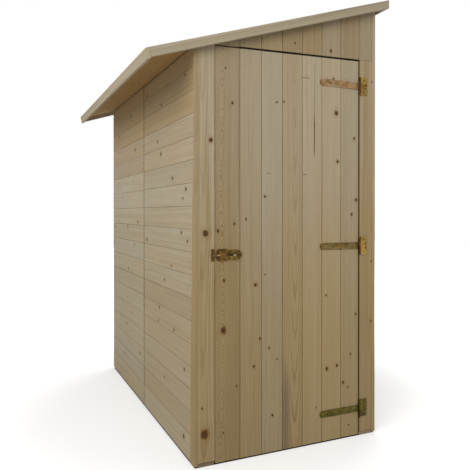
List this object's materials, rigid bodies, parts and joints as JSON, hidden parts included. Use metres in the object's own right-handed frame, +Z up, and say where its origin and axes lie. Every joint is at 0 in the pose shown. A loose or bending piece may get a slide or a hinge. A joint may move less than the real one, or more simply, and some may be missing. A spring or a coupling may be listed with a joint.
{
  "type": "lean-to garden shed",
  "caption": "Small timber lean-to garden shed with a mono-pitch roof, tongued board walls and floor, and a ledged and braced door on T hinges with a sliding bolt.",
  "frame": {"origin": "on the ground at the middle of the footprint, on the underside of the middle floor bearer", "axes": "+Z up, +X towards the high wall, -Y towards the door end"},
  "size_m": [1.2188, 1.708, 2.114],
  "materials": {
    "board_wood": "planed treated softwood",
    "frame_wood": "sawn softwood",
    "trim_wood": "weathered planed softwood",
    "roof_felt": "mineral felt",
    "zinc_brass": "yellow zinc plate"
  },
  "bodies": {
    "shed": {"floor_bearers": "frame_wood", "floor_boards": "board_wood", "left_wall_front_panel": "board_wood", "left_wall_back_panel": "board_wood", "left_wall_studs": "frame_wood", "left_wall_rails": "frame_wood", "right_wall_front_panel": "board_wood", "right_wall_back_panel": "board_wood", "right_wall_studs": "frame_wood", "right_wall_rails": "frame_wood", "back_wall_panel": "board_wood", "back_wall_posts": "frame_wood", "back_wall_rails": "frame_wood", "front_corner_batten": "frame_wood", "front_left_board": "board_wood", "front_right_board": "board_wood", "front_head_panel": "board_wood", "left_door_jamb": "frame_wood", "right_door_jamb": "frame_wood", "frame_door_stop": "frame_wood", "door_head_rail": "frame_wood", "front_top_rail": "frame_wood", "roof_purlin": "frame_wood", "roof_deck": "board_wood", "roof_felt": "roof_felt", "front_bargeboard": "trim_wood", "back_bargeboard": "trim_wood", "eave_fascia": "trim_wood", "high_fascia": "trim_wood", "top_hinge_plate": "zinc_brass", "middle_hinge_plate": "zinc_brass", "bottom_hinge_plate": "zinc_brass", "top_hinge_pin": "zinc_brass", "middle_hinge_pin": "zinc_brass", "bottom_hinge_pin": "zinc_brass", "bolt_keep": "zinc_brass"},
    "door": {"door_boards": "board_wood", "door_ledges": "frame_wood", "door_braces": "frame_wood", "top_hinge_strap": "zinc_brass", "middle_hinge_strap": "zinc_brass", "bottom_hinge_strap": "zinc_brass", "bolt_plate": "zinc_brass"},
    "bolt": {"bolt_rod": "zinc_brass"}
  },
  "joints": [
    {"name": "door_swing", "type": "hinge", "parent": "shed", "child": "door", "pos_m": [0.3745, -0.825, 0.9], "axis": [0, 0, 1], "range_deg": [0, 160]},
    {"name": "bolt_slide", "type": "slide", "parent": "door", "child": "bolt", "axis": [-1, 0, 0], "range_m": [0, 0.02]}
  ]
}
